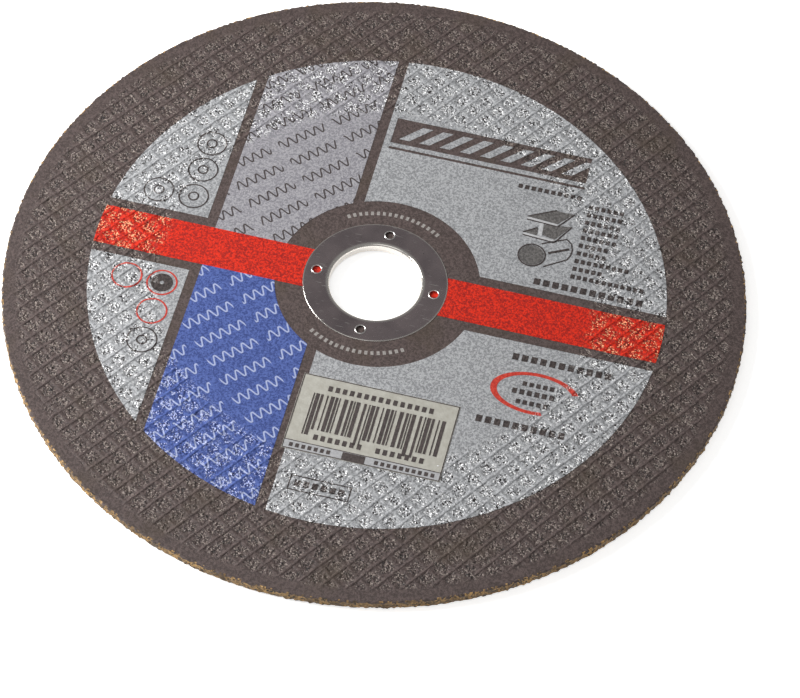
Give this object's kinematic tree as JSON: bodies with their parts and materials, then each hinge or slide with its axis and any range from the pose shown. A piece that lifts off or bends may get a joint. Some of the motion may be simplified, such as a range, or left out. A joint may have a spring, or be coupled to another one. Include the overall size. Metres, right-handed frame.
{
  "type": "cut-off wheel",
  "caption": "Thin round resin-bonded cut-off wheel with woven glass nets in its faces, a flanged steel ring in the bore, printed fields of colour and a paper label.",
  "frame": {"origin": "on the bore axis, in the plane of the back face that the wheel lies on", "axes": "+Z along the bore axis, out of the printed front face; +X along the red band, to the right when the front is read"},
  "size_m": [0.18, 0.18, 0.0027],
  "materials": {
    "abrasive": "gritty pressed resin bond, dark on the faces and golden brown on the rim",
    "glass_net": "woven glass net soaked in dark resin",
    "tinned_steel": "drawn tinned sheet, scuffed",
    "silver_ink": "screen-printed silver ink",
    "grey_ink": "screen-printed grey ink",
    "blue_ink": "screen-printed blue ink",
    "red_ink": "screen-printed red ink",
    "label_paper": "cream paper label"
  },
  "bodies": {
    "root": {"abrasive_disc": "abrasive", "front_net": "glass_net", "back_net": "glass_net", "bore_ring": "tinned_steel", "silver_print": "silver_ink", "grey_print": "grey_ink", "blue_print": "blue_ink", "red_print": "red_ink", "paper_label": "label_paper"}
  },
  "joints": []
}
